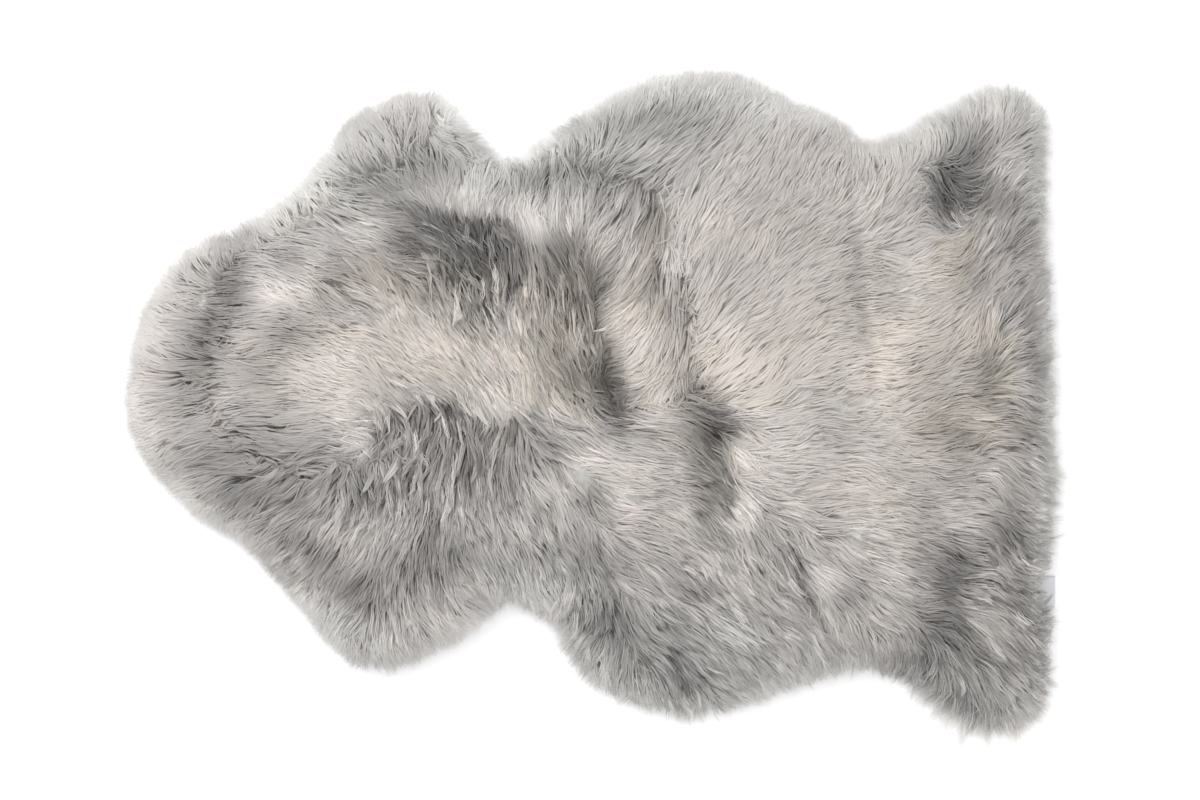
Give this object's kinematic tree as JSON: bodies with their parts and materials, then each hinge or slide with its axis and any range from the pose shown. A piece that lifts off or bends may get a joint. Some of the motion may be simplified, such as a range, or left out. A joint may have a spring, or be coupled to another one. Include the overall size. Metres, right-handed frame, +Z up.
{
  "type": "sheepskin rug",
  "caption": "Grey-beige sheepskin rug in the shape of a whole pelt: long soft wool with partings on a flat tanned hide, lying on the floor.",
  "frame": {"origin": "middle of the rug's outline on the floor, under the hide", "axes": "+X from the neck to the straight rump edge, +Y to the far flank, +Z up from the floor"},
  "size_m": [1, 0.71, 0.056],
  "materials": {
    "tanned_hide": "undyed suede side of a tanned sheepskin, matt, with soft mottling and fine nap",
    "wool": "long soft grey-beige wool, pale at the tips and darker and greyer at the roots, in brushed locks with partings",
    "label_ribbon": "blank off-white satin ribbon with a light sheen"
  },
  "bodies": {
    "root": {"hide": "tanned_hide", "fleece": "wool", "label": "label_ribbon"}
  },
  "joints": []
}
